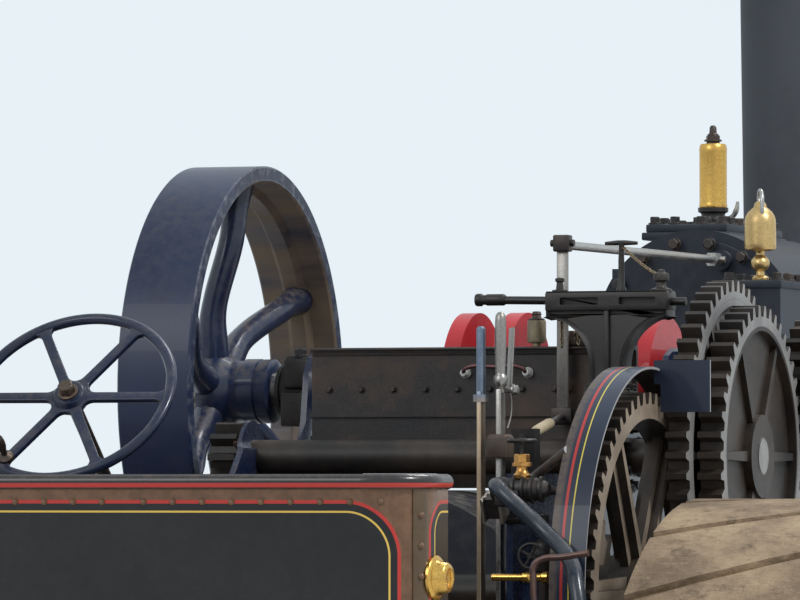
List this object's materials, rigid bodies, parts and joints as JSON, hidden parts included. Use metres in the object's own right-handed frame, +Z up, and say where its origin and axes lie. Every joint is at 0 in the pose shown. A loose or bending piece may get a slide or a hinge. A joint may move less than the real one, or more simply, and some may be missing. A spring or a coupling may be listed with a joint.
{
  "type": "steam traction engine",
  "caption": "Heavy steam traction engine with horizontal boiler, spoked flywheel, open gear train, tender, tall chimney and strake-shod steel wheels.",
  "frame": {"origin": "on the ground, under the middle of the length and width", "axes": "+X forward towards the chimney, +Y to the engine's left, +Z up"},
  "size_m": [6.47, 2.82, 3.88],
  "materials": {
    "boiler_paint": "satin",
    "blue_paint": "gloss",
    "chimney_paint": "matte",
    "tender_paint": "gloss",
    "red_paint": "gloss",
    "wheel_paint": "satin",
    "tread_steel": "worn",
    "gear_iron": "oily",
    "dark_iron": "oily",
    "bright_steel": "worn",
    "brass": "polished"
  },
  "bodies": {
    "root": {"boiler": "boiler_paint", "smokebox": "chimney_paint", "firebox": "boiler_paint", "side_plate_left": "blue_paint", "side_plate_right": "blue_paint", "cross_plate": "dark_iron", "tender": "tender_paint", "water_tank": "tender_paint", "drawbar": "dark_iron", "chimney": "chimney_paint", "cylinder_block": "chimney_paint", "slide_bars": "bright_steel", "safety_valve": "brass", "lubricator": "brass", "gear_bracket": "dark_iron", "gear_guard": "blue_paint", "regulator_rods": "bright_steel", "lever_stand": "dark_iron", "water_pipes": "blue_paint", "perch_bracket": "dark_iron", "steering_brackets": "dark_iron"},
    "smokebox_door": {"smokebox_door": "chimney_paint"},
    "firehole_door": {"firehole_door": "dark_iron"},
    "front_axle": {"front_axle": "dark_iron"},
    "front_wheel_left": {"front_wheel_left": "wheel_paint"},
    "front_wheel_right": {"front_wheel_right": "wheel_paint"},
    "chain_drum": {"chain_drum": "dark_iron"},
    "chain_left": {"chain_left": "dark_iron"},
    "chain_right": {"chain_right": "dark_iron"},
    "steering_wheel": {"steering_wheel": "blue_paint"},
    "rear_axle": {"rear_axle": "gear_iron"},
    "rear_wheel_left": {"rear_wheel_left": "wheel_paint", "rear_tyre_left": "tread_steel"},
    "rear_wheel_right": {"rear_wheel_right": "wheel_paint", "rear_tyre_right": "tread_steel"},
    "crankshaft": {"crankshaft": "bright_steel", "flywheel": "blue_paint", "crank_pinions": "gear_iron"},
    "connecting_rod": {"connecting_rod": "bright_steel"},
    "second_shaft": {"second_shaft": "gear_iron"},
    "third_shaft": {"third_shaft": "gear_iron"},
    "reversing_lever": {"reversing_lever": "bright_steel"},
    "gear_lever": {"gear_lever": "bright_steel"}
  },
  "joints": [
    {"name": "rear_wheel_left_turn", "type": "hinge", "parent": "root", "child": "rear_wheel_left", "pos_m": [-1.465, 1.11, 0.99], "axis": [0, 1, 0], "continuous": true},
    {"name": "rear_wheel_right_turn", "type": "hinge", "parent": "root", "child": "rear_wheel_right", "pos_m": [-1.465, -1.11, 0.99], "axis": [0, 1, 0], "continuous": true},
    {"name": "steer", "type": "hinge", "parent": "root", "child": "front_axle", "pos_m": [2.585, 0, 0.65], "axis": [0, 0, 1], "range_deg": [-20, 20]},
    {"name": "front_wheel_left_turn", "type": "hinge", "parent": "front_axle", "child": "front_wheel_left", "pos_m": [2.585, 0.71, 0.65], "axis": [0, 1, 0], "continuous": true},
    {"name": "front_wheel_right_turn", "type": "hinge", "parent": "front_axle", "child": "front_wheel_right", "pos_m": [2.585, -0.71, 0.65], "axis": [0, 1, 0], "continuous": true},
    {"name": "chain_left_swing", "type": "hinge", "parent": "front_axle", "child": "chain_left", "pos_m": [2.475, 0.25, 0.61], "axis": [0, 0, 1], "range_deg": [-20, 20]},
    {"name": "chain_right_swing", "type": "hinge", "parent": "front_axle", "child": "chain_right", "pos_m": [2.475, -0.25, 0.61], "axis": [0, 0, 1], "range_deg": [-20, 20]},
    {"name": "drum_turn", "type": "hinge", "parent": "root", "child": "chain_drum", "pos_m": [-0.315, 0, 0.69], "axis": [0, 1, 0], "range_deg": [-90, 90]},
    {"name": "hand_wheel_turn", "type": "hinge", "parent": "root", "child": "steering_wheel", "pos_m": [-1.965, 0.577, 2.225], "axis": [0.766, 0, -0.6428], "range_deg": [-1340, 1340]},
    {"name": "crank_turn", "type": "hinge", "parent": "root", "child": "crankshaft", "pos_m": [-0.299, 0, 2.265], "axis": [0, 1, 0], "continuous": true},
    {"name": "rod_swing", "type": "hinge", "parent": "crankshaft", "child": "connecting_rod", "pos_m": [-0.169, 0.03, 2.265], "axis": [0, 1, 0], "continuous": true},
    {"name": "second_shaft_turn", "type": "hinge", "parent": "root", "child": "second_shaft", "pos_m": [-0.871, 0, 2.085], "axis": [0, 1, 0], "continuous": true},
    {"name": "third_shaft_turn", "type": "hinge", "parent": "root", "child": "third_shaft", "pos_m": [-1.39541, 0, 1.74681], "axis": [0, 1, 0], "continuous": true},
    {"name": "rear_axle_turn", "type": "hinge", "parent": "root", "child": "rear_axle", "pos_m": [-1.465, 0, 0.99], "axis": [0, 1, 0], "continuous": true},
    {"name": "reversing_lever_swing", "type": "hinge", "parent": "root", "child": "reversing_lever", "pos_m": [-1.685, -0.44, 1.56], "axis": [0, 1, 0], "range_deg": [-16, 8]},
    {"name": "gear_lever_swing", "type": "hinge", "parent": "root", "child": "gear_lever", "pos_m": [-1.685, -0.39, 1.56], "axis": [0, 1, 0], "range_deg": [-10, 10]},
    {"name": "smokebox_door_swing", "type": "hinge", "parent": "root", "child": "smokebox_door", "pos_m": [2.971, 0.385, 1.56], "axis": [0, 0, 1], "range_deg": [0, 110]},
    {"name": "firehole_door_swing", "type": "hinge", "parent": "root", "child": "firehole_door", "pos_m": [-1.288, 0.19, 1.48], "axis": [0, 0, 1], "range_deg": [-95, 0]}
  ],
  "couplings": [
    {"joint": "chain_left_swing", "follows": "steer", "ratio": -1},
    {"joint": "chain_right_swing", "follows": "steer", "ratio": -1},
    {"joint": "drum_turn", "follows": "steer", "ratio": 4.1667},
    {"joint": "hand_wheel_turn", "follows": "steer", "ratio": 66.667},
    {"joint": "rod_swing", "follows": "crank_turn", "ratio": -1},
    {"joint": "third_shaft_turn", "follows": "second_shaft_turn", "ratio": -0.3},
    {"joint": "rear_axle_turn", "follows": "second_shaft_turn", "ratio": 0.093103}
  ]
}
